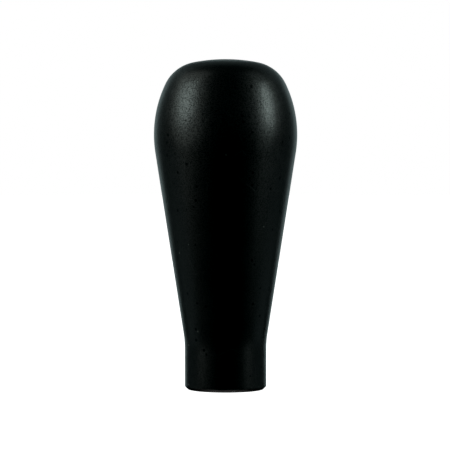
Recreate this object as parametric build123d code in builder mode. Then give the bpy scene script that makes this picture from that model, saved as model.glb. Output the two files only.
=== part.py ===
from build123d import *

import math
import os

# Gear lever knob: a turned acetal grip round a steel weight, screwed to its lever by a brass
# insert. The knob stands on the flat rim of its neck. Z is its own axis, Z = 0 is the rim, and
# the domed head is at the top. All sizes are in millimetres.
#
# One stepped bore runs up from the rim and holds everything else. From its closed end down
# come a rubber damper disc, the steel weight and the threaded insert, and a retaining ring
# snapped into a groove keeps them there. An O-ring inside the insert grips the lever's shank.

# ---- The outside form ---------------------------------------------------------------------
knob_height = 114.0  # rim to crown
head_diameter = 49.5  # at the widest circle
head_height = 26.0  # the widest circle up to the crown
crown_radius = 58.0  # the shallow dome on top
shoulder_radius = 13.5  # the tight turn between the dome and the side
palm_radius = 40.6  # the long curve of the side
neck_length = 16.7  # rim to the corner where the taper would meet the neck
neck_blend_radius = 33.0  # rounds that corner off
rim_chamfer = 1.05  # outer edge of the rim
edge_break = 0.25  # takes the sharpness off the chamfer's two edges

# ---- The bore that holds the stack ----------------------------------------------------------
stack_diameter = 22.0  # the bore
neck_wall = 3.1  # acetal round the bore, which sets the neck's outside
crown_wall = 14.0  # acetal between the bore's closed end and the crown
mouth_depth = 3.0  # rim up to the retaining ring
mouth_chamfer = 0.8  # lead-in that squeezes the ring shut as it goes in

# ---- Retaining ring -------------------------------------------------------------------------
ring_thickness = 1.0
ring_play = 0.1  # how much wider its groove is
ring_groove_depth = 0.5  # radial
ring_clearance = 0.05  # radial, between the ring and the groove's floor
ring_width_back = 2.5  # radial width opposite the gap
ring_width_ends = 1.2  # radial width beside the lugs
ring_gap = 1.8  # between the two ends
lug_reach = 4.2  # from the ring's outside in to the tip of a lug
lug_radius = 2.4
lug_hole_spacing = 5.6  # centre to centre
lug_hole_diameter = 2.0
lug_fillet = 0.8  # where a lug runs into the ring

# ---- Threaded insert: M12 x 1.25 ------------------------------------------------------------
thread_major_diameter = 12.0
thread_pitch = 1.25
insert_length = 28.0
insert_clearance = 0.05  # radial, the smooth lands in the bore
insert_land = 3.0  # smooth length at each end, outside
insert_chamfer = 0.6  # outer edges
shank_clearance = 0.3  # radial, round the lever's plain shank below the thread
shank_recess_depth = 5.5
knurl_teeth = 60
knurl_depth = 0.35
knurl_clearance = 0.02  # radial, the crests only just reach the wall
knurl_crest = 0.25  # flat on the top of each tooth
knurl_root = 0.25  # flat between two teeth

# ---- O-ring in the shank recess -------------------------------------------------------------
o_ring_section = 1.8
o_ring_squeeze = 0.1  # how far it stands inside the shank's radius
o_ring_height = 2.7  # the insert's lower face up to the O-ring's middle
o_ring_groove_width = 2.4
o_ring_clearance = 0.05  # radial, behind the O-ring

# ---- Weight and damper disc -----------------------------------------------------------------
weight_clearance = 0.1  # radial, in the bore
weight_chamfer = 1.0
weight_vent_width = 2.0  # a flute that lets the air out as the weight goes in
weight_vent_depth = 0.8
puller_hole_diameter = 5.0  # takes a screw that draws the weight out
puller_hole_depth = 12.0
disc_thickness = 1.5
disc_clearance = 1.0  # radial, room for the rubber to spread
disc_hole_diameter = 4.0

# ---- Levels and radii that follow from the sizes above ----------------------------------------
stack_radius = stack_diameter / 2
neck_radius = stack_radius + neck_wall
head_radius = head_diameter / 2
bore_depth = knob_height - crown_wall
ring_radius = stack_radius + ring_groove_depth - ring_clearance
insert_bottom = mouth_depth + ring_thickness
insert_top = insert_bottom + insert_length
weight_radius = stack_radius - weight_clearance
weight_top = bore_depth - disc_thickness
thread_major_radius = thread_major_diameter / 2
thread_minor_radius = thread_major_radius - 0.54127 * thread_pitch  # five eighths of the sharp V
o_ring_centre_radius = thread_major_radius - o_ring_squeeze + o_ring_section / 2
o_ring_middle = insert_bottom + o_ring_height

rim_plane = Plane(origin=(0, 0, 0), x_dir=(1, 0, 0), z_dir=(0, 0, -1))  # faces down


def circles_meet(centre_a, radius_a, centre_b, radius_b):
    """The point where two circles cross, on the side further from the knob's axis."""
    between = centre_b - centre_a
    reach = (between.length**2 + radius_a**2 - radius_b**2) / (2 * between.length)
    along = between.normalized()
    across = Vector(along.Y, -along.X) * math.sqrt(radius_a**2 - reach**2)
    foot = centre_a + along * reach
    return max(foot + across, foot - across, key=lambda point: point.X)


def tangent_point(outside, centre, radius):
    """Where a line from a point outside a circle touches it, on the side further from the axis."""
    away = outside - centre
    half_angle = math.degrees(math.acos(radius / away.length))
    spoke = away.normalized() * radius
    touches = [centre + spoke.rotate(Axis.Z, turn) for turn in (half_angle, -half_angle)]
    return max(touches, key=lambda point: point.X)


def arc_about(centre, start, end):
    """The shorter arc about a centre, drawn in the current line."""
    radius = (start - centre).length
    middle = centre + ((start + end) * 0.5 - centre).normalized() * radius
    return ThreePointArc(start, middle, end)


os.makedirs("parts", exist_ok=True)

# ---- Grip shell: black acetal, turned in one piece --------------------------------------------
# The outline has X as the radius and Y as the height. Dome, shoulder and side are three arcs,
# each tangent to the next, and the straight taper is tangent to the last of them.
crown_centre = Vector(0, knob_height - crown_radius)
palm_centre = Vector(head_radius - palm_radius, knob_height - head_height)
shoulder_centre = circles_meet(
    crown_centre, crown_radius - shoulder_radius, palm_centre, palm_radius - shoulder_radius
)
crown_top = Vector(0, knob_height)
crown_end = crown_centre + (shoulder_centre - crown_centre).normalized() * crown_radius
shoulder_end = palm_centre + (shoulder_centre - palm_centre).normalized() * palm_radius
neck_corner = Vector(neck_radius, neck_length)
taper_start = tangent_point(neck_corner, palm_centre, palm_radius)

with BuildPart() as grip_shell:
    with BuildSketch(Plane.XZ) as outline:
        with BuildLine():
            arc_about(crown_centre, crown_top, crown_end)
            arc_about(shoulder_centre, crown_end, shoulder_end)
            arc_about(palm_centre, shoulder_end, taper_start)
            Polyline(taper_start, neck_corner, (neck_radius, 0), (0, 0), crown_top)
        make_face()
        fillet(outline.vertices().sort_by_distance(neck_corner)[0], neck_blend_radius)
    revolve(axis=Axis.Z)
    rim_edge = grip_shell.edges().filter_by(GeomType.CIRCLE).sort_by(Axis.Z)[0]
    chamfer(rim_edge, rim_chamfer)
    fillet(grip_shell.edges().filter_by(GeomType.CIRCLE).sort_by(Axis.Z)[:2], edge_break)
    with Locations(rim_plane):
        Hole(stack_radius, depth=bore_depth)
    rim_circles = grip_shell.edges().filter_by(GeomType.CIRCLE).group_by(Axis.Z)[0]
    chamfer(rim_circles.sort_by(SortBy.RADIUS)[0], mouth_chamfer)
    with BuildSketch(Plane.XY.offset(mouth_depth)):
        Circle(stack_radius + ring_groove_depth)
    extrude(amount=ring_thickness + ring_play, mode=Mode.SUBTRACT)
grip_shell.part.label = "grip_shell"
export_step(grip_shell.part, "parts/grip_shell.step")

# ---- Damper disc: rubber, between the weight and the bore's closed end --------------------------
with BuildPart() as damper_disc:
    with BuildSketch(Plane.XY.offset(weight_top)):
        Circle(stack_radius - disc_clearance)
        Circle(disc_hole_diameter / 2, mode=Mode.SUBTRACT)
    extrude(amount=disc_thickness)
damper_disc.part.label = "damper_disc"
export_step(damper_disc.part, "parts/damper_disc.step")

# ---- Weight bar: steel, stands on the insert ----------------------------------------------------
with BuildPart() as weight_bar:
    with BuildSketch(Plane.XY.offset(insert_top)):
        Circle(weight_radius)
    extrude(amount=weight_top - insert_top)
    chamfer(weight_bar.edges().filter_by(GeomType.CIRCLE), weight_chamfer)
    with Locations(rim_plane.offset(-insert_top)):
        Hole(puller_hole_diameter / 2, depth=puller_hole_depth)
    with BuildSketch(Plane.XY.offset(insert_top)):
        with Locations((0, weight_radius)):
            Rectangle(weight_vent_width, 2 * weight_vent_depth)
    extrude(amount=weight_top - insert_top, mode=Mode.SUBTRACT)
weight_bar.part.label = "weight_bar"
export_step(weight_bar.part, "parts/weight_bar.step")

# ---- Threaded insert: brass, its knurl pressed into the bore --------------------------------------
# The thread is a plain bore at its minor diameter, countersunk to its major diameter at both ends.
knurl_crest_radius = stack_radius - knurl_clearance
knurl_root_radius = knurl_crest_radius - knurl_depth
tooth_foot = 2 * math.pi * knurl_root_radius / knurl_teeth - knurl_root
with BuildPart() as thread_insert:
    with BuildSketch(Plane.XY.offset(insert_bottom)):
        Circle(stack_radius - insert_clearance)
    extrude(amount=insert_length)
    insert_ends = thread_insert.edges().filter_by(GeomType.CIRCLE)
    chamfer(insert_ends, insert_chamfer)
    with BuildSketch(Plane.XY.offset(insert_bottom + insert_land)):
        Circle(stack_radius)
        Circle(knurl_root_radius, mode=Mode.SUBTRACT)
    extrude(amount=insert_length - 2 * insert_land, mode=Mode.SUBTRACT)
    with BuildSketch(Plane.XY.offset(insert_bottom + insert_land)):
        with PolarLocations(knurl_root_radius, knurl_teeth):
            Polygon(
                (-knurl_depth, -tooth_foot / 2),
                (0, -tooth_foot / 2),
                (knurl_depth, -knurl_crest / 2),
                (knurl_depth, knurl_crest / 2),
                (0, tooth_foot / 2),
                (-knurl_depth, tooth_foot / 2),
                align=None,
            )
    extrude(amount=insert_length - 2 * insert_land)
    with Locations(rim_plane.offset(-insert_bottom)):
        Hole(thread_minor_radius)
        Hole(thread_major_radius + shank_clearance, depth=shank_recess_depth)
    bore_circles = thread_insert.edges().filter_by(GeomType.CIRCLE).group_by(SortBy.RADIUS)[0]
    chamfer(bore_circles, thread_major_radius - thread_minor_radius)
    with BuildSketch(Plane.XY.offset(o_ring_middle - o_ring_groove_width / 2)):
        Circle(o_ring_centre_radius + o_ring_section / 2 + o_ring_clearance)
    extrude(amount=o_ring_groove_width, mode=Mode.SUBTRACT)
thread_insert.part.label = "thread_insert"
export_step(thread_insert.part, "parts/thread_insert.step")

# ---- Shank O-ring: grips the lever's shank, so that the knob can't buzz on its thread ---------------
with BuildPart() as shank_o_ring:
    with BuildSketch(Plane.XZ):
        with Locations((o_ring_centre_radius, o_ring_middle)):
            Circle(o_ring_section / 2)
    revolve(axis=Axis.Z)
shank_o_ring.part.label = "shank_o_ring"
export_step(shank_o_ring.part, "parts/shank_o_ring.step")

# ---- Retaining ring: spring steel, widest opposite its gap, a lug with a plier hole at each end -----
hollow_radius = ring_radius - (ring_width_back + ring_width_ends) / 2
hollow_centre = Vector(0, (ring_width_ends - ring_width_back) / 2)
lug_distance = ring_radius - lug_reach + lug_radius  # from the knob's axis
lug_drop = math.sqrt(lug_distance**2 - (lug_hole_spacing / 2) ** 2)
lug_centres = [(side * lug_hole_spacing / 2, -lug_drop) for side in (-1, 1)]
with BuildPart() as retaining_ring:
    with BuildSketch(Plane.XY.offset(mouth_depth)) as ring_outline:
        Circle(ring_radius)
        with Locations(hollow_centre):
            Circle(hollow_radius, mode=Mode.SUBTRACT)
        with Locations(*lug_centres):
            Circle(lug_radius)
        Circle(ring_radius, mode=Mode.INTERSECT)
        with Locations((0, -ring_radius)):
            Rectangle(ring_gap, 2 * lug_reach, mode=Mode.SUBTRACT)
        lug_roots = ring_outline.vertices().sort_by(Axis.Y)[-2:]
        fillet(lug_roots, lug_fillet)
        with Locations(*lug_centres):
            Circle(lug_hole_diameter / 2, mode=Mode.SUBTRACT)
    extrude(amount=ring_thickness)
retaining_ring.part.label = "retaining_ring"
export_step(retaining_ring.part, "parts/retaining_ring.step")
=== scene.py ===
# %% [markdown]
# # A gear lever knob, turned from black acetal
#
# This lesson dresses a CAD model for a studio picture. The object is a tall knob that screws
# onto a gear lever. A lathe turned its grip from one bar of black acetal. A bore that runs up
# from the rim holds the rest: a rubber damper disc, a steel weight, a brass insert with the
# lever's thread, an O-ring and a retaining ring.
#
# The CAD model is loaded first and never moves. Everything below is built round it, in metres
# and in its own frame: the knob stands on Z = 0, and the Z axis is the knob's axis.

import math

import bmesh
import bpy
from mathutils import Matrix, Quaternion, Vector


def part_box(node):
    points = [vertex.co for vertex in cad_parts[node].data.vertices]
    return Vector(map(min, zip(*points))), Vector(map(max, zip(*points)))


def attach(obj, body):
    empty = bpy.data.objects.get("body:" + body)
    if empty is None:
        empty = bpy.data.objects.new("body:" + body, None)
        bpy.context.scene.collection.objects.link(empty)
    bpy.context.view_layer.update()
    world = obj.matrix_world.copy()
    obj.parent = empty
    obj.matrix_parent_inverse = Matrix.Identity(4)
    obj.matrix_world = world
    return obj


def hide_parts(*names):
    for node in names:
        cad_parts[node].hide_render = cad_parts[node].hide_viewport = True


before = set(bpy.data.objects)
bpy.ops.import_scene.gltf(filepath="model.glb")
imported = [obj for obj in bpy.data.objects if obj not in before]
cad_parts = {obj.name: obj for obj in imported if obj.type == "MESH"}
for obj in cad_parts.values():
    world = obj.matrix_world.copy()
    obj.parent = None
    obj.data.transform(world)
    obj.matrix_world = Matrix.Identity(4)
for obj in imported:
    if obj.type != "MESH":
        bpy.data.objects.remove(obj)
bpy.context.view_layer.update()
print("CAD pieces:", ", ".join(sorted(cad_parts)))

# %% [markdown]
# ## Sizes
#
# A turned part is drawn as one outline and a few radii. Whatever the CAD boxes can tell is read
# from them, so it can't disagree with the model. The radii of the curves and the small edge
# breaks don't show in any box, so they are written here once, the way a drawing gives them.

# %% Sizes read from the model
MM = 0.001  # a millimetre on the drawing, in Blender's metres

grip_low, grip_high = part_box("grip_shell")
knob_height = grip_high.z - grip_low.z
head_radius = (grip_high.x - grip_low.x) / 2
ring_low, ring_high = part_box("retaining_ring")
insert_low, insert_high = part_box("thread_insert")
seal_low, seal_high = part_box("shank_o_ring")
weight_low, weight_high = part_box("weight_bar")
disc_low, disc_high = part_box("damper_disc")
print(f"the knob is {knob_height / MM:.1f} mm high and {head_radius * 2 / MM:.1f} mm across")

# %% Sizes from the drawing: the grip
head_height = 26.0 * MM  # the widest circle up to the crown
crown_radius = 58.0 * MM  # the shallow dome
shoulder_radius = 13.5 * MM  # the tight turn into the side
palm_radius = 40.6 * MM  # the long curve of the side
neck_radius = 14.1 * MM
neck_length = 16.7 * MM  # rim to the corner where the taper would meet the neck
neck_blend_radius = 33.0 * MM  # rounds that corner off
rim_chamfer = 1.05 * MM
stack_radius = 11.0 * MM  # the bore
mouth_chamfer = 0.8 * MM
groove_depth = 0.5 * MM  # for the retaining ring
groove_play = 0.1 * MM
outer_break = 0.25 * MM  # takes the sharpness off edges that a hand can touch
inner_break = 0.06 * MM  # and off the edges inside the bore
print(f"its neck is {neck_radius * 2 / MM:.1f} mm across, with a {stack_radius * 2 / MM:.0f} mm bore")

# %% [markdown]
# ## Drawing an outline
#
# A lathe's tool follows a path of straight cuts and arcs, so the outline is drawn the same way.
# A point is a pair: the radius from the axis, and the height. One helper samples an arc.
# Another walks round the corners of a path and rounds each by its own radius. A third divides
# the long straights. The rows of the mesh end up about evenly spaced, and a highlight that
# slides over them stays smooth.

# %% Helpers for outlines
ROW = 0.8 * MM  # about how far apart the rows of a turned mesh lie
WIDEST_STEP = math.radians(9)  # an arc, however small, turns no more than this in one row


def arc(centre, start, end):
    """Points along the shorter arc about a centre, both ends included."""
    first, last = start - centre, end - centre
    turn = math.atan2(first.x * last.y - first.y * last.x, first.dot(last))
    count = max(2, math.ceil(max(abs(turn) * first.length / ROW, abs(turn) / WIDEST_STEP)))
    points = []
    for step in range(count + 1):
        cosine, sine = math.cos(turn * step / count), math.sin(turn * step / count)
        points.append(centre + Vector((first.x * cosine - first.y * sine,
                                       first.x * sine + first.y * cosine)))
    return points


def rounded_path(corners):
    """A path through corners. Each is the radius from the axis, the height and the rounding."""
    spots = [Vector(corner[:2]) for corner in corners]
    path = [spots[0]]
    for before, spot, after, corner in zip(spots, spots[1:], spots[2:], corners[1:]):
        rounding = corner[2]
        if rounding == 0:
            path.append(spot)
            continue
        to_before, to_after = (before - spot).normalized(), (after - spot).normalized()
        half_angle = math.acos(to_before.dot(to_after)) / 2
        reach = rounding / math.tan(half_angle)
        centre = spot + (to_before + to_after).normalized() * (rounding / math.sin(half_angle))
        path += arc(centre, spot + to_before * reach, spot + to_after * reach)
    return path + [spots[-1]]


def even_rows(path):
    """The same path, with its long straights divided into rows."""
    rows = [path[0]]
    for here, there in zip(path, path[1:]):
        count = max(1, round((there - here).length / ROW))
        rows += [here.lerp(there, step / count) for step in range(1, count + 1)]
    return rows


test_corner = rounded_path([(0, 0, 0), (10 * MM, 0, 2 * MM), (10 * MM, 10 * MM, 0)])
print("a corner rounded by 2 mm takes", len(test_corner) - 2, "points")

# %% [markdown]
# ## The grip's outline
#
# The head is three arcs, each tangent to the next: a shallow dome, a tight shoulder and the
# long curve that fills the palm. A straight taper leaves the last arc at a tangent and runs
# down to the neck. Two constructions from school geometry find the joints. The shoulder's
# centre is where two circles cross, and the taper begins where a line from the neck's corner
# touches the palm's circle. An outline built this way has no kink to break a highlight.

# %% Where the arcs and the taper meet


def circles_meet(centre_a, radius_a, centre_b, radius_b):
    """The point where two circles cross, on the side further from the axis."""
    between = centre_b - centre_a
    reach = (between.length_squared + radius_a**2 - radius_b**2) / (2 * between.length)
    along = between.normalized()
    across = Vector((along.y, -along.x)) * math.sqrt(radius_a**2 - reach**2)
    foot = centre_a + along * reach
    return max(foot + across, foot - across, key=lambda spot: spot.x)


def tangent_point(outside, centre, radius):
    """Where a line from a point outside a circle touches it, on the side further from the axis."""
    away = outside - centre
    half_angle = math.acos(radius / away.length)
    lean = math.atan2(away.y, away.x)
    spokes = [Vector((math.cos(lean + turn), math.sin(lean + turn)))
              for turn in (half_angle, -half_angle)]
    return max((centre + spoke * radius for spoke in spokes), key=lambda spot: spot.x)


crown_centre = Vector((0, knob_height - crown_radius))
palm_centre = Vector((head_radius - palm_radius, knob_height - head_height))
shoulder_centre = circles_meet(crown_centre, crown_radius - shoulder_radius,
                               palm_centre, palm_radius - shoulder_radius)
crown_top = Vector((0, knob_height))
crown_end = crown_centre + (shoulder_centre - crown_centre).normalized() * crown_radius
shoulder_end = palm_centre + (shoulder_centre - palm_centre).normalized() * palm_radius
neck_corner = Vector((neck_radius, neck_length))
taper_start = tangent_point(neck_corner, palm_centre, palm_radius)
print(f"heights: dome to {crown_end.y / MM:.1f}, shoulder to {shoulder_end.y / MM:.1f},",
      f"palm curve to {taper_start.y / MM:.1f}, taper to {neck_length / MM:.1f} mm")

# %% The outline, from the crown round the rim to the bore's closed end
head_outline = (arc(crown_centre, crown_top, crown_end)
                + arc(shoulder_centre, crown_end, shoulder_end)[1:]
                + arc(palm_centre, shoulder_end, taper_start)[1:])
groove_top = ring_high.z + groove_play
groove_radius = stack_radius + groove_depth
body_outline = even_rows(rounded_path([
    (*taper_start, 0),
    (*neck_corner, neck_blend_radius),
    (neck_radius, rim_chamfer, outer_break),
    (neck_radius - rim_chamfer, 0, outer_break),
    (stack_radius + mouth_chamfer, 0, inner_break),
    (stack_radius, mouth_chamfer, inner_break),
    (stack_radius, ring_low.z, inner_break),
    (groove_radius, ring_low.z, 0),
    (groove_radius, groove_top, 0),
    (stack_radius, groove_top, inner_break),
    (stack_radius, disc_high.z, 0),
    (0, disc_high.z, 0),
]))
grip_outline = head_outline + body_outline[1:]
print("the grip's outline has", len(grip_outline), "rows")

# %% [markdown]
# ## The lathe
#
# Blender's Screw modifier and its Spin tool can both sweep an outline round an axis. The sweep
# is written by hand here because it is as short, and because the mesh can then remember how far
# the tool had travelled at each row. A material uses that distance later to lay turning marks
# evenly over a steep side and a nearly flat dome alike.

# %% A lathe in mesh code
WELD = 0.0001 * MM  # points closer than this are one point
SHARP = math.radians(32)  # an edge that turns further than this is shaded as a corner


def sweep(outline, columns, closed=False, shape=None):
    """Sweeps an outline round the Z axis. shape may change a radius by its angle and height."""
    mesh = bmesh.new()
    travel = mesh.verts.layers.float.new("tool_travel")
    rows, travelled = [], 0.0
    for before, spot in zip(outline[:1] + outline, outline):
        travelled += (spot - before).length
        on_axis = spot.x < WELD
        row = []
        for column in range(1 if on_axis else columns):
            angle = 2 * math.pi * column / columns
            radius = shape(spot.x, spot.y, angle) if shape else spot.x
            vert = mesh.verts.new((radius * math.cos(angle), radius * math.sin(angle), spot.y))
            vert[travel] = travelled / MM
            row.append(vert)
        rows.append(row)
    neighbours = list(zip(rows, rows[1:])) + ([(rows[-1], rows[0])] if closed else [])
    for upper, lower in neighbours:
        for column in range(columns):
            after = (column + 1) % columns
            loop = (upper[column % len(upper)], lower[column % len(lower)],
                    lower[after % len(lower)], upper[after % len(upper)])
            mesh.faces.new(dict.fromkeys(loop))
    return mesh


def make_piece(name, mesh, node):
    """Welds a swept mesh, shades it and hands it to the frame in place of a CAD piece."""
    bmesh.ops.remove_doubles(mesh, verts=mesh.verts, dist=WELD)
    bmesh.ops.recalc_face_normals(mesh, faces=mesh.faces)
    for face in mesh.faces:
        face.smooth = True
    for edge in mesh.edges:
        edge.smooth = edge.calc_face_angle(math.pi) < SHARP
    open_edges = sum(not edge.is_manifold for edge in mesh.edges)
    data = bpy.data.meshes.new(name)
    mesh.to_mesh(data)
    mesh.free()
    piece = bpy.data.objects.new(name, data)
    bpy.context.scene.collection.objects.link(piece)
    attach(piece, "root")
    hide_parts(node)
    print(f"{name}: {len(data.polygons)} faces, {open_edges} open edges")
    return piece


grip_columns = 256
grip_mesh = sweep(grip_outline, grip_columns)
grip = make_piece("turned_grip", grip_mesh, "grip_shell")

# %% [markdown]
# ## Cutting a thread
#
# A screw thread winds, so a plain sweep can't make it. It can be carved with a boolean, which
# leaves long thin faces, or grown as a grid that climbs one pitch in each turn, which is done
# here. Row by row the grid follows the thread's flats and flanks. Where the last column meets
# the first, each row joins the row one pitch further up. At both ends the rows are pressed flat
# against the rim of the countersink, and the weld turns them into a clean circle.

# %% A wound thread
CREST = 0.25  # widths along an inside thread, as shares of its pitch
FLANK = 0.3125
ROOT = 0.125
THREAD_DEPTH = 0.54127  # five eighths of the sharp V's height, as a share of the pitch


def add_thread(mesh, columns, low, high, minor, major, pitch, blind=False):
    """Winds a right-hand inside thread between two heights, countersunk where it is open."""
    climb = [0, CREST / 2, CREST, CREST + FLANK / 2, CREST + FLANK,
             CREST + FLANK + ROOT, CREST + 1.5 * FLANK + ROOT]
    depth = [0, 0, 0, 0.5, 1, 1, 0.5]
    turns = math.ceil((high - low) / pitch) + 1
    columns_of_verts = []
    for column in range(columns):
        angle = 2 * math.pi * column / columns
        cosine, sine = math.cos(angle), math.sin(angle)
        verts = []
        for turn in range(-1, turns):
            for rise, share in zip(climb, depth):
                height = low + pitch * (turn + rise + column / columns)
                height = min(max(height, low), high)
                radius = minor + (major - minor) * share
                radius = max(radius, major - (height - low))
                if blind:
                    radius = min(radius, minor + max(0.0, high - height))
                else:
                    radius = max(radius, major - (high - height))
                verts.append(mesh.verts.new((radius * cosine, radius * sine, height)))
        columns_of_verts.append(verts)
    for column, verts in enumerate(columns_of_verts):
        last = column == columns - 1
        lift = len(climb) if last else 0
        following = columns_of_verts[0 if last else column + 1]
        for row in range(len(verts) - 1 - lift):
            mesh.faces.new((verts[row], verts[row + 1],
                            following[row + 1 + lift], following[row + lift]))
    return mesh


print("one pitch of thread: crest", CREST, "flanks", 2 * FLANK, "root", ROOT, "of its length")

# %% [markdown]
# ## The threaded insert
#
# The insert is a brass bush. Its knurl is pressed into the acetal, and the lever screws into its
# M12 x 1.25 thread. Below the thread a wider recess takes the lever's plain shank, with a groove
# for the O-ring. The bush is swept from the top of its thread, down its outside and back in, and
# the wound thread closes the loop. The knurl comes from a function that moves the radius in and
# out with the angle, six columns to a tooth, so each tooth gets a flat tip and a flat root.

# %% Threaded insert
thread_major = 6.0 * MM
thread_pitch = 1.25 * MM
thread_minor = thread_major - THREAD_DEPTH * thread_pitch
shank_clearance = 0.3 * MM  # round the lever's plain shank
recess_radius = thread_major + shank_clearance
recess_depth = 5.5 * MM
seal_clearance = 0.05 * MM  # behind the O-ring
seal_groove_radius = seal_high.x + seal_clearance
seal_groove_half = 1.2 * MM
insert_land = 3.0 * MM
insert_chamfer = 0.6 * MM
insert_clearance = 0.05 * MM  # the smooth lands in the bore
land_radius = stack_radius - insert_clearance
knurl_radius = insert_high.x
knurl_depth = 0.35 * MM
knurl_teeth = 60
tooth_columns = 6
knurl_columns = tooth_columns * knurl_teeth
seal_middle = (seal_low.z + seal_high.z) / 2
thread_low = insert_low.z + recess_depth
knurl_low, knurl_high = insert_low.z + insert_land, insert_high.z - insert_land


def knurled(radius, height, angle):
    """Straight teeth between the two smooth lands, on the outside only."""
    if radius < land_radius or not knurl_low < height < knurl_high:
        return radius
    share = angle * knurl_teeth / (2 * math.pi) % 1  # of the way from one tip to the next
    across = abs(share - 0.5) * tooth_columns  # 3 at a tip, 0 at a root
    return knurl_radius - knurl_depth * min(max(2 - across, 0), 1)


insert_outline = even_rows(rounded_path([
    (thread_major, insert_high.z, 0),
    (land_radius - insert_chamfer, insert_high.z, inner_break),
    (land_radius, insert_high.z - insert_chamfer, inner_break),
    (land_radius, knurl_high, 0),
    (knurl_radius, knurl_high - knurl_depth, 0),
    (knurl_radius, knurl_low + knurl_depth, 0),
    (land_radius, knurl_low, 0),
    (land_radius, insert_low.z + insert_chamfer, inner_break),
    (land_radius - insert_chamfer, insert_low.z, inner_break),
    (recess_radius, insert_low.z, 2 * inner_break),
    (recess_radius, seal_middle - seal_groove_half, inner_break),
    (seal_groove_radius, seal_middle - seal_groove_half, 0),
    (seal_groove_radius, seal_middle + seal_groove_half, 0),
    (recess_radius, seal_middle + seal_groove_half, inner_break),
    (recess_radius, thread_low, 0),
    (thread_major, thread_low, 0),
]))
insert_mesh = sweep(insert_outline, knurl_columns, shape=knurled)
add_thread(insert_mesh, knurl_columns, thread_low, insert_high.z,
           thread_minor, thread_major, thread_pitch)
insert = make_piece("knurled_insert", insert_mesh, "thread_insert")

# %% [markdown]
# ## The weight
#
# The weight is a length of bright steel bar with chamfered ends. A tapped hole in its lower end
# takes a screw that pulls it out again, and a flute down one side lets the air escape when it is
# pushed in. The flute is flat-bottomed: inside its width the radius is cut back to a plane.

# %% Weight bar
weight_radius = weight_high.x
weight_chamfer = 1.0 * MM
flute_half_width = 1.0 * MM
flute_depth = 0.8 * MM
flute_floor = weight_radius - flute_depth
puller_major = 3.0 * MM
puller_minor = 2.5 * MM
puller_pitch = 1.0 * MM
puller_depth = 12.0 * MM
drill_point = 1.4 * MM  # the cone that the drill leaves
weight_columns = 360


def fluted(radius, height, angle):
    """A flat floor cut across the +Y side."""
    sideways, outwards = radius * math.cos(angle), radius * math.sin(angle)
    if outwards < flute_floor or abs(sideways) > flute_half_width:
        return radius
    return flute_floor / math.sin(angle)


weight_outline = even_rows(rounded_path([
    (0, weight_high.z, 0),
    (weight_radius - weight_chamfer, weight_high.z, inner_break),
    (weight_radius, weight_high.z - weight_chamfer, inner_break),
    (weight_radius, weight_low.z + weight_chamfer, inner_break),
    (weight_radius - weight_chamfer, weight_low.z, inner_break),
    (puller_major, weight_low.z, 0),
]))
puller_end = weight_low.z + puller_depth
weight_mesh = sweep(weight_outline, weight_columns, shape=fluted)
add_thread(weight_mesh, weight_columns, weight_low.z, puller_end,
           puller_minor, puller_major, puller_pitch, blind=True)

drill_outline = [Vector((puller_minor, puller_end)), Vector((0, puller_end + drill_point))]
drill_cone = sweep(drill_outline, weight_columns)
drill_data = bpy.data.meshes.new("drill_point")
drill_cone.to_mesh(drill_data)
drill_cone.free()
weight_mesh.from_mesh(drill_data)
bpy.data.meshes.remove(drill_data)
weight = make_piece("steel_weight", weight_mesh, "weight_bar")

# %% [markdown]
# ## The rubber parts
#
# An O-ring is moulded in two halves, and a fine line of flash is left where they met, round the
# inside and the outside. The section is a circle whose radius swells a little at those two
# places. The damper disc is punched from sheet, so its edges are only just rounded.

# %% O-ring and damper disc
seal_section = (seal_high.z - seal_low.z) / 2
seal_flash = 0.03 * MM
flash_width = math.radians(7)
seal_centre = seal_high.x - seal_section
seal_steps = 72
seal_columns = 240
seal_outline = []
for step in range(seal_steps):
    around = 2 * math.pi * step / seal_steps
    from_flash = min(abs(math.remainder(around, math.pi)) / flash_width, 1)
    radius = seal_section - seal_flash * from_flash
    seal_outline.append(Vector((seal_centre + radius * math.cos(around),
                                seal_middle + radius * math.sin(around))))
seal_mesh = sweep(seal_outline, seal_columns, closed=True)
seal = make_piece("seal_ring", seal_mesh, "shank_o_ring")

disc_radius = disc_high.x
disc_hole_radius = 2.0 * MM
disc_edge = 0.15 * MM
disc_columns = 160
disc_middle = (disc_low.z + disc_high.z) / 2
disc_outline = even_rows(rounded_path([
    (disc_hole_radius, disc_middle, 0),
    (disc_hole_radius, disc_low.z, disc_edge),
    (disc_radius, disc_low.z, disc_edge),
    (disc_radius, disc_high.z, disc_edge),
    (disc_hole_radius, disc_high.z, disc_edge),
    (disc_hole_radius, disc_middle, 0),
]))
disc_mesh = sweep(disc_outline[:-1], disc_columns, closed=True)
disc = make_piece("rubber_disc", disc_mesh, "damper_disc")

# %% [markdown]
# ## The retaining ring
#
# The ring is stamped from spring steel, and its CAD shape is already right, so it stays. Only
# its edges are too sharp for a stamping. Two modifiers see to that without touching the mesh:
# Weld joins the faces, which the import leaves apart, and Bevel rounds every hard edge.

# %% Retaining ring
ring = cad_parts["retaining_ring"]
weld = ring.modifiers.new("weld", "WELD")
weld.merge_threshold = 0.001 * MM
rounding = ring.modifiers.new("stamped edges", "BEVEL")
rounding.width = 0.07 * MM
rounding.segments = 3
rounding.angle_limit = math.radians(40)
rounding.harden_normals = True
print("the ring keeps its CAD mesh of", len(ring.data.polygons), "faces")

# %% [markdown]
# ## Materials: a few helpers
#
# Each finish is a small tree of nodes that ends in a Principled shader. One helper adds a node
# and sets its options. Another fills a node's sockets: it plugs in another node's output, or
# sets the socket's own value where that is the same all over the surface.

# %% Helpers for materials


def new_material(name):
    """An empty material that ends in a Principled shader."""
    material = bpy.data.materials.new(name)
    material.use_nodes = True
    return material, material.node_tree, material.node_tree.nodes["Principled BSDF"]


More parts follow.
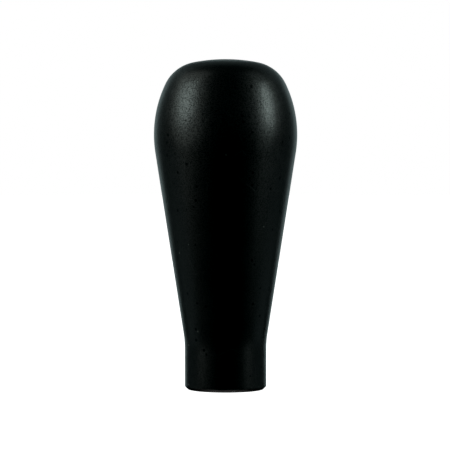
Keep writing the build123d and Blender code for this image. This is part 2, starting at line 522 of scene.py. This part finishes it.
def plug(tree, socket, value):
    """Links an output to a socket, or sets the socket's own value."""
    if isinstance(value, bpy.types.NodeSocket):
        tree.links.new(value, socket)
    else:
        socket.default_value = value


def fill(tree, node, **sockets):
    """Fills sockets by their names in Blender, with underscores for spaces."""
    for name, value in sockets.items():
        plug(tree, node.inputs[name.replace("_", " ")], value)


def add(tree, kind, options=None, **sockets):
    """Adds a shader node, sets its options and fills its sockets."""
    node = tree.nodes.new("ShaderNode" + kind)
    for name, value in (options or {}).items():
        setattr(node, name, value)
    fill(tree, node, **sockets)
    return node


def place(tree):
    """Where on the piece a point is, in metres from the frame's origin."""
    return add(tree, "TexCoord").outputs["Object"]


def maths(tree, operation, *values):
    """A Math node's result."""
    node = tree.nodes.new("ShaderNodeMath")
    node.operation = operation
    for socket, value in zip(node.inputs, values):
        plug(tree, socket, value)
    return node.outputs[0]


def noise(tree, size, detail=2.0, roughness=0.5):
    """Grey noise from 0 to 1, whose lumps are about the given size in metres."""
    return add(tree, "TexNoise", Vector=place(tree), Scale=1 / size, Detail=detail,
               Roughness=roughness).outputs["Fac"]


def remap(tree, value, low, high, to_low, to_high):
    """Carries one range of values onto another and stops at its ends."""
    return add(tree, "MapRange", Value=value, From_Min=low, From_Max=high,
               To_Min=to_low, To_Max=to_high).outputs["Result"]


def colour_between(tree, share, first, second):
    """A mix of two colours."""
    node = add(tree, "Mix", {"data_type": "RGBA"})
    plug(tree, node.inputs[0], share)
    plug(tree, node.inputs[6], first)
    plug(tree, node.inputs[7], second)
    return node.outputs[2]


def bump(tree, height, depth, under=None):
    """Relief whose height of 1 stands depth metres proud, laid over an earlier bump."""
    node = add(tree, "Bump", Height=height, Distance=depth, Strength=1.0)
    if under is not None:
        plug(tree, node.inputs["Normal"], under)
    return node.outputs["Normal"]


def turning_marks(tree, feed):
    """Rings that the tool leaves, feed millimetres apart, some of them deeper than others."""
    travel = add(tree, "Attribute", {"attribute_name": "tool_travel"}).outputs["Fac"]
    wave = maths(tree, "SINE", maths(tree, "MULTIPLY", travel, 2 * math.pi / feed))
    uneven = add(tree, "TexNoise", {"noise_dimensions": "1D"},
                 W=travel, Scale=1.7, Detail=4.0).outputs["Fac"]
    return maths(tree, "MULTIPLY", wave, uneven)


print("material helpers ready")

# %% [markdown]
# ## Turned acetal
#
# Acetal is a hard, slightly waxy plastic. Turned and left unpolished, it is satin: the tool
# leaves fine rings, and between them it tears the surface open in fine pores. A pore reflects
# less than the skin round it, which breaks a highlight into a faint speckle, so the speckle goes
# into the reflection's tint rather than into the colour below it. The pores take light away
# everywhere, so the refractive index is set a little above acetal's own 1.48 to give it back.
# In use the grip picks up hairline scratches, a few small nicks, a little dust, and patches that
# hands have smoothed. Each of these is one short branch of the tree.

# %% Turned acetal: the marks
acetal, tree, shader = new_material("turned_acetal")
pore_size = 0.4 * MM
handled_patch = 14 * MM
grip_feed = 0.16  # millimetres that the tool moved in one turn
scratch_spacing = 13 * MM
spot_spacing = 3.2 * MM

pores = noise(tree, pore_size, detail=0.5)
handled = noise(tree, handled_patch, detail=3)
rings = turning_marks(tree, grip_feed)

# the flat walls between random cells cut the surface in straight hairlines, and noise hides most
walls = add(tree, "TexVoronoi", {"feature": "DISTANCE_TO_EDGE"},
            Vector=place(tree), Scale=1 / scratch_spacing).outputs["Distance"]
scratched = remap(tree, noise(tree, 8 * MM, detail=2), 0.5, 0.58, 0.0, 1.0)
hairlines = maths(tree, "MULTIPLY", remap(tree, walls, 0.003, 0.011, 1.0, 0.0), scratched)

# each cell of a finer pattern holds one point, and some of the points become nicks or dust
cells = add(tree, "TexVoronoi", Vector=place(tree), Scale=1 / spot_spacing)
lot = add(tree, "SeparateColor", Color=cells.outputs["Color"]).outputs[0]
nicks = maths(tree, "MULTIPLY", remap(tree, cells.outputs["Distance"], 0.08, 0.2, 1.0, 0.0),
              maths(tree, "GREATER_THAN", lot, 0.66))
dust = maths(tree, "MULTIPLY", remap(tree, cells.outputs["Distance"], 0.05, 0.12, 1.0, 0.0),
             maths(tree, "LESS_THAN", lot, 0.05))
print("marks:", len(tree.nodes), "nodes")

# %% Turned acetal: colour and reflection
black = colour_between(tree, handled, (0.0015, 0.0018, 0.0018, 1), (0.004, 0.0043, 0.0042, 1))
scuff = maths(tree, "MULTIPLY", hairlines, 0.5)
scuffed = colour_between(tree, scuff, black, (0.02, 0.022, 0.022, 1))
dusty = colour_between(tree, dust, scuffed, (0.12, 0.13, 0.12, 1))

# fingers close round the taper and have polished it, so its pores show less than the head's
polished_below, fresh_above = 50 * MM, 85 * MM
height = add(tree, "SeparateXYZ", Vector=place(tree)).outputs["Z"]
in_pore = remap(tree, height, polished_below, fresh_above, 0.5, 0.24)
on_skin = remap(tree, height, polished_below, fresh_above, 0.84, 1.0)
skin = remap(tree, pores, 0.32, 0.62, in_pore, on_skin)
skin = maths(tree, "MULTIPLY", skin, remap(tree, nicks, 0.0, 0.6, 1.0, 0.05))
fill(tree, shader, Base_Color=dusty, Specular_Tint=skin, IOR=1.62)
print("colour and reflection:", len(tree.nodes), "nodes")

# %% Turned acetal: roughness and relief
satin = remap(tree, handled, 0.3, 0.7, 0.32, 0.36)
satin = maths(tree, "ADD", satin, remap(tree, rings, -0.3, 0.3, -0.01, 0.01))
satin = maths(tree, "ADD", satin, maths(tree, "MULTIPLY", hairlines, 0.1))

relief = bump(tree, rings, 0.001 * MM)
relief = bump(tree, pores, 0.02 * MM, relief)
relief = bump(tree, hairlines, -0.012 * MM, relief)
relief = bump(tree, nicks, -0.02 * MM, relief)
fill(tree, shader, Roughness=satin, Normal=relief)
grip.data.materials.append(acetal)
print("turned acetal:", len(tree.nodes), "nodes")

# %% [markdown]
# ## Brass, steel and rubber
#
# The inner pieces show only from below, through the mouth of the neck. The brass is bright where
# it was cut and dulled in patches by air. The bar steel is bright and oiled. The ring's spring
# steel is phosphated, which makes it nearly black and a little crystalline, with bare metal on
# the edges that the pliers and the groove have rubbed. The rubber is matt, with a fine skin.
# On the turned metals the tool's rings are wider than on the grip, and they change the
# roughness as well as the relief, because a lathe leaves some rings brighter than others.

# %% Brass
brass, tree, shader = new_material("insert_brass")
tarnish = noise(tree, 2.6 * MM, detail=5, roughness=0.6)
rings = turning_marks(tree, 0.35)
colour = colour_between(tree, remap(tree, tarnish, 0.42, 0.72, 0.0, 1.0),
                        (0.83, 0.59, 0.27, 1), (0.5, 0.32, 0.13, 1))
dulled = remap(tree, tarnish, 0.35, 0.7, 0.2, 0.4)
dulled = maths(tree, "ADD", dulled, remap(tree, rings, -0.4, 0.4, -0.07, 0.07))
relief = bump(tree, noise(tree, 0.3 * MM), 0.004 * MM, bump(tree, rings, 0.006 * MM))
fill(tree, shader, Base_Color=colour, Metallic=1.0, Roughness=dulled, Normal=relief)
insert.data.materials.append(brass)
print("brass:", len(tree.nodes), "nodes")

# %% Weight steel
steel, tree, shader = new_material("weight_steel")
oil = noise(tree, 6 * MM, detail=3)
rings = turning_marks(tree, 0.4)
colour = colour_between(tree, remap(tree, oil, 0.4, 0.65, 0.0, 1.0),
                        (0.56, 0.56, 0.55, 1), (0.36, 0.33, 0.29, 1))
wetted = remap(tree, oil, 0.35, 0.65, 0.34, 0.2)
relief = bump(tree, noise(tree, 0.25 * MM), 0.003 * MM, bump(tree, rings, 0.006 * MM))
fill(tree, shader, Base_Color=colour, Metallic=1.0, Roughness=wetted, Normal=relief)
weight.data.materials.append(steel)
print("weight steel:", len(tree.nodes), "nodes")

# %% Phosphated spring steel
phosphate, tree, shader = new_material("ring_spring_steel")
crystals = noise(tree, 0.12 * MM, detail=3, roughness=0.7)
rubbed = add(tree, "NewGeometry").outputs["Pointiness"]
bare = maths(tree, "MULTIPLY", remap(tree, rubbed, 0.52, 0.6, 0.0, 1.0),
             remap(tree, noise(tree, 1.5 * MM, detail=3), 0.4, 0.6, 0.2, 1.0))
coat = colour_between(tree, crystals, (0.05, 0.05, 0.052, 1), (0.11, 0.105, 0.1, 1))
colour = colour_between(tree, bare, coat, (0.5, 0.49, 0.47, 1))
fill(tree, shader, Base_Color=colour, Metallic=1.0,
     Roughness=remap(tree, crystals, 0.3, 0.7, 0.36, 0.52),
     Normal=bump(tree, crystals, 0.004 * MM))
ring.material_slots[0].material = phosphate
print("phosphated steel:", len(tree.nodes), "nodes")

# %% Rubber, moulded and punched


def rubber(name, grain_size, grain_depth, low_roughness, high_roughness):
    """Black rubber: a fine grain, and a bloom that greys it in patches."""
    material, tree, shader = new_material(name)
    bloom = noise(tree, 4 * MM, detail=3)
    grain = noise(tree, grain_size, detail=2)
    fill(tree, shader, IOR=1.52,
         Base_Color=colour_between(tree, bloom, (0.012, 0.012, 0.012, 1), (0.03, 0.03, 0.029, 1)),
         Roughness=remap(tree, bloom, 0.3, 0.7, low_roughness, high_roughness),
         Normal=bump(tree, grain, grain_depth))
    return material


seal.data.materials.append(rubber("seal_rubber", 0.2 * MM, 0.003 * MM, 0.38, 0.5))
disc.data.materials.append(rubber("damper_rubber", 0.4 * MM, 0.02 * MM, 0.65, 0.85))
print("two rubbers ready")

# %% [markdown]
# ## The light table
#
# The knob stands on a white sheet that glows from within, like a photographer's light table, so
# the ground stays white and the shadow stays faint. A black glossy thing mirrors its
# surroundings, and a glowing floor would wash it out, so the sheet is hidden from reflections.
# Seen from below it lets the view through, and the mouth of the bore can be looked into.

# %% Light table
TABLE_SIZE = 8.0
table_drop = 0.1 * MM  # keeps the sheet clear of the rim
table_mesh = bmesh.new()
bmesh.ops.create_grid(table_mesh, x_segments=8, y_segments=8, size=TABLE_SIZE / 2)
for vert in table_mesh.verts:
    vert.co.z = -table_drop
table_data = bpy.data.meshes.new("light_table")
table_mesh.to_mesh(table_data)
table_mesh.free()
light_table = bpy.data.objects.new("light_table", table_data)
bpy.context.scene.collection.objects.link(light_table)
light_table.visible_glossy = False
light_table.visible_diffuse = False
light_table.visible_shadow = False

sheet, tree, shader = new_material("white_sheet")
colour = colour_between(tree, noise(tree, 0.3), (0.88, 0.88, 0.88, 1), (0.92, 0.92, 0.92, 1))
fill(tree, shader, Base_Color=colour, Roughness=0.9, Specular_IOR_Level=0.0,
     Emission_Color=(1, 1, 1, 1), Emission_Strength=1.2)
behind = add(tree, "NewGeometry").outputs["Backfacing"]
see_through = add(tree, "BsdfTransparent").outputs[0]
choice = add(tree, "MixShader")
plug(tree, choice.inputs[0], behind)
plug(tree, choice.inputs[1], shader.outputs[0])
plug(tree, choice.inputs[2], see_through)
plug(tree, tree.nodes["Material Output"].inputs["Surface"], choice.outputs[0])
table_data.materials.append(sheet)
print("light table", TABLE_SIZE, "m square")

# %% [markdown]
# ## Camera
#
# A long lens from most of a metre away keeps the outline almost as drawn. The camera stands a
# little above the middle of the knob and looks slightly down, just enough to curve the rim.

# %% Camera
camera_data = bpy.data.cameras.new("camera")
camera_data.lens = 185.0
camera_data.sensor_width = 36
camera = bpy.data.objects.new("camera", camera_data)
camera_aim = Vector((-0.0002, 0, 0.0568))
camera.location = (camera_aim.x, -0.799, 0.0804)
camera.rotation_euler = (camera_aim - camera.location).to_track_quat("-Z", "Y").to_euler()
bpy.context.scene.collection.objects.link(camera)
bpy.context.scene.camera = camera
tilt = math.degrees(camera.rotation_euler.x) - 90
print(f"the camera is tilted by {tilt:.1f} degrees")

# %% [markdown]
# ## Lights
#
# On a black satin surface the lights are seen more than what they light. Two softboxes stand
# left and right, high enough that only the head mirrors them, and the middle is left dark. A
# softbox is brightest in its middle, so each one here is a large dim rectangle with a smaller
# bright one in front. A panel behind draws the thin grey line along both edges, and a dim wall
# above it carries the line over the crown. Dim walls at the sides and low cards keep the taper
# and the neck from sinking into black. The cloth of old softboxes is never quite neutral, so
# the tints lean a little to green. Two small lamps below light the mouth of the bore.

# %% Lights
stand = Vector((0, 0, knob_height / 2))


def light_panel(name, azimuth, elevation, width, height, lean, brightness, tint, distance=1.0):
    """A rectangle of light that faces the knob. Angles in degrees; azimuth 0 is the front."""
    side, up = math.radians(azimuth), math.radians(elevation)
    away = Vector((math.sin(side) * math.cos(up), -math.cos(side) * math.cos(up), math.sin(up)))
    data = bpy.data.lights.new(name, "AREA")
    data.shape = "RECTANGLE"
    data.size, data.size_y = width, height
    data.energy = brightness * math.pi * width * height
    data.color = tint
    light = bpy.data.objects.new(name, data)
    light.location = stand + away * distance
    light.rotation_mode = "QUATERNION"
    leaning = Quaternion((0, 0, 1), math.radians(lean))
    light.rotation_quaternion = away.to_track_quat("Z", "Y") @ leaning
    light.visible_camera = False
    bpy.context.scene.collection.objects.link(light)
    print(f"{name}: {data.energy:.2f} W")


COOL = (0.82, 1.0, 0.95)
COOLER = (0.76, 1.0, 1.0)
WARMER = (0.89, 1.0, 0.93)
NEUTRAL = (1.0, 0.98, 0.95)
light_panel("left_softbox", -75, 32, 0.24, 0.50, 28, 0.60, WARMER, distance=0.306)
light_panel("left_softbox_middle", -72.5, 31.5, 0.11, 0.16, 28, 3.5, COOL, distance=0.303)
light_panel("right_softbox", 76.3, 27.4, 0.168, 0.657, -20, 0.31, COOL, distance=0.365)
light_panel("right_softbox_middle", 75.8, 27, 0.052, 0.19, -20, 10.3, COOL, distance=0.362)
light_panel("left_wall", -132, 18, 0.9, 0.9, 0, 0.06, COOLER)
light_panel("right_wall", 132, 18, 0.9, 0.9, 0, 0.045, COOLER)
light_panel("left_card", -101, -18.5, 0.78, 0.3, 0, 0.145, COOLER)
light_panel("right_card", 103, -18.5, 0.72, 0.3, 0, 0.135, COOLER)
light_panel("back_panel", 180, 4.6, 1.43, 0.64, 0, 0.50, COOLER)
light_panel("upper_wall", 180, 40, 1.8, 0.55, 0, 0.09, COOLER)
light_panel("lamp_below_behind", 180, -66, 0.3, 0.2, 0, 2.0, NEUTRAL, distance=0.6)
light_panel("lamp_below_left", -70, -58, 0.2, 0.15, 0, 1.0, NEUTRAL, distance=0.6)

# %% [markdown]
# ## Surroundings
#
# The background is plain white to the camera only. To reflections the room is dark, which is
# what black cards round the table do in a studio. A Light Path node tells the two apart. The
# view's black level then turns the last thousandth of light into full black, as a catalogue
# picture does.

# %% Surroundings
world = bpy.data.worlds.new("studio")
world.use_nodes = True
bpy.context.scene.world = world
tree = world.node_tree
seen = add(tree, "Background", Color=(1, 1, 1, 1), Strength=1.0).outputs[0]
reflected = add(tree, "Background", Color=(0.9, 0.95, 1, 1), Strength=0.0).outputs[0]
room = add(tree, "MixShader")
plug(tree, room.inputs[0], add(tree, "LightPath").outputs["Is Camera Ray"])
plug(tree, room.inputs[1], reflected)
plug(tree, room.inputs[2], seen)
plug(tree, tree.nodes["World Output"].inputs["Surface"], room.outputs[0])
view = bpy.context.scene.view_settings
view.view_transform = "Standard"
view.use_curve_mapping = True
view.curve_mapping.black_level = (0.0014, 0.0011, 0.0011)
view.curve_mapping.update()
print("world:", world.name)
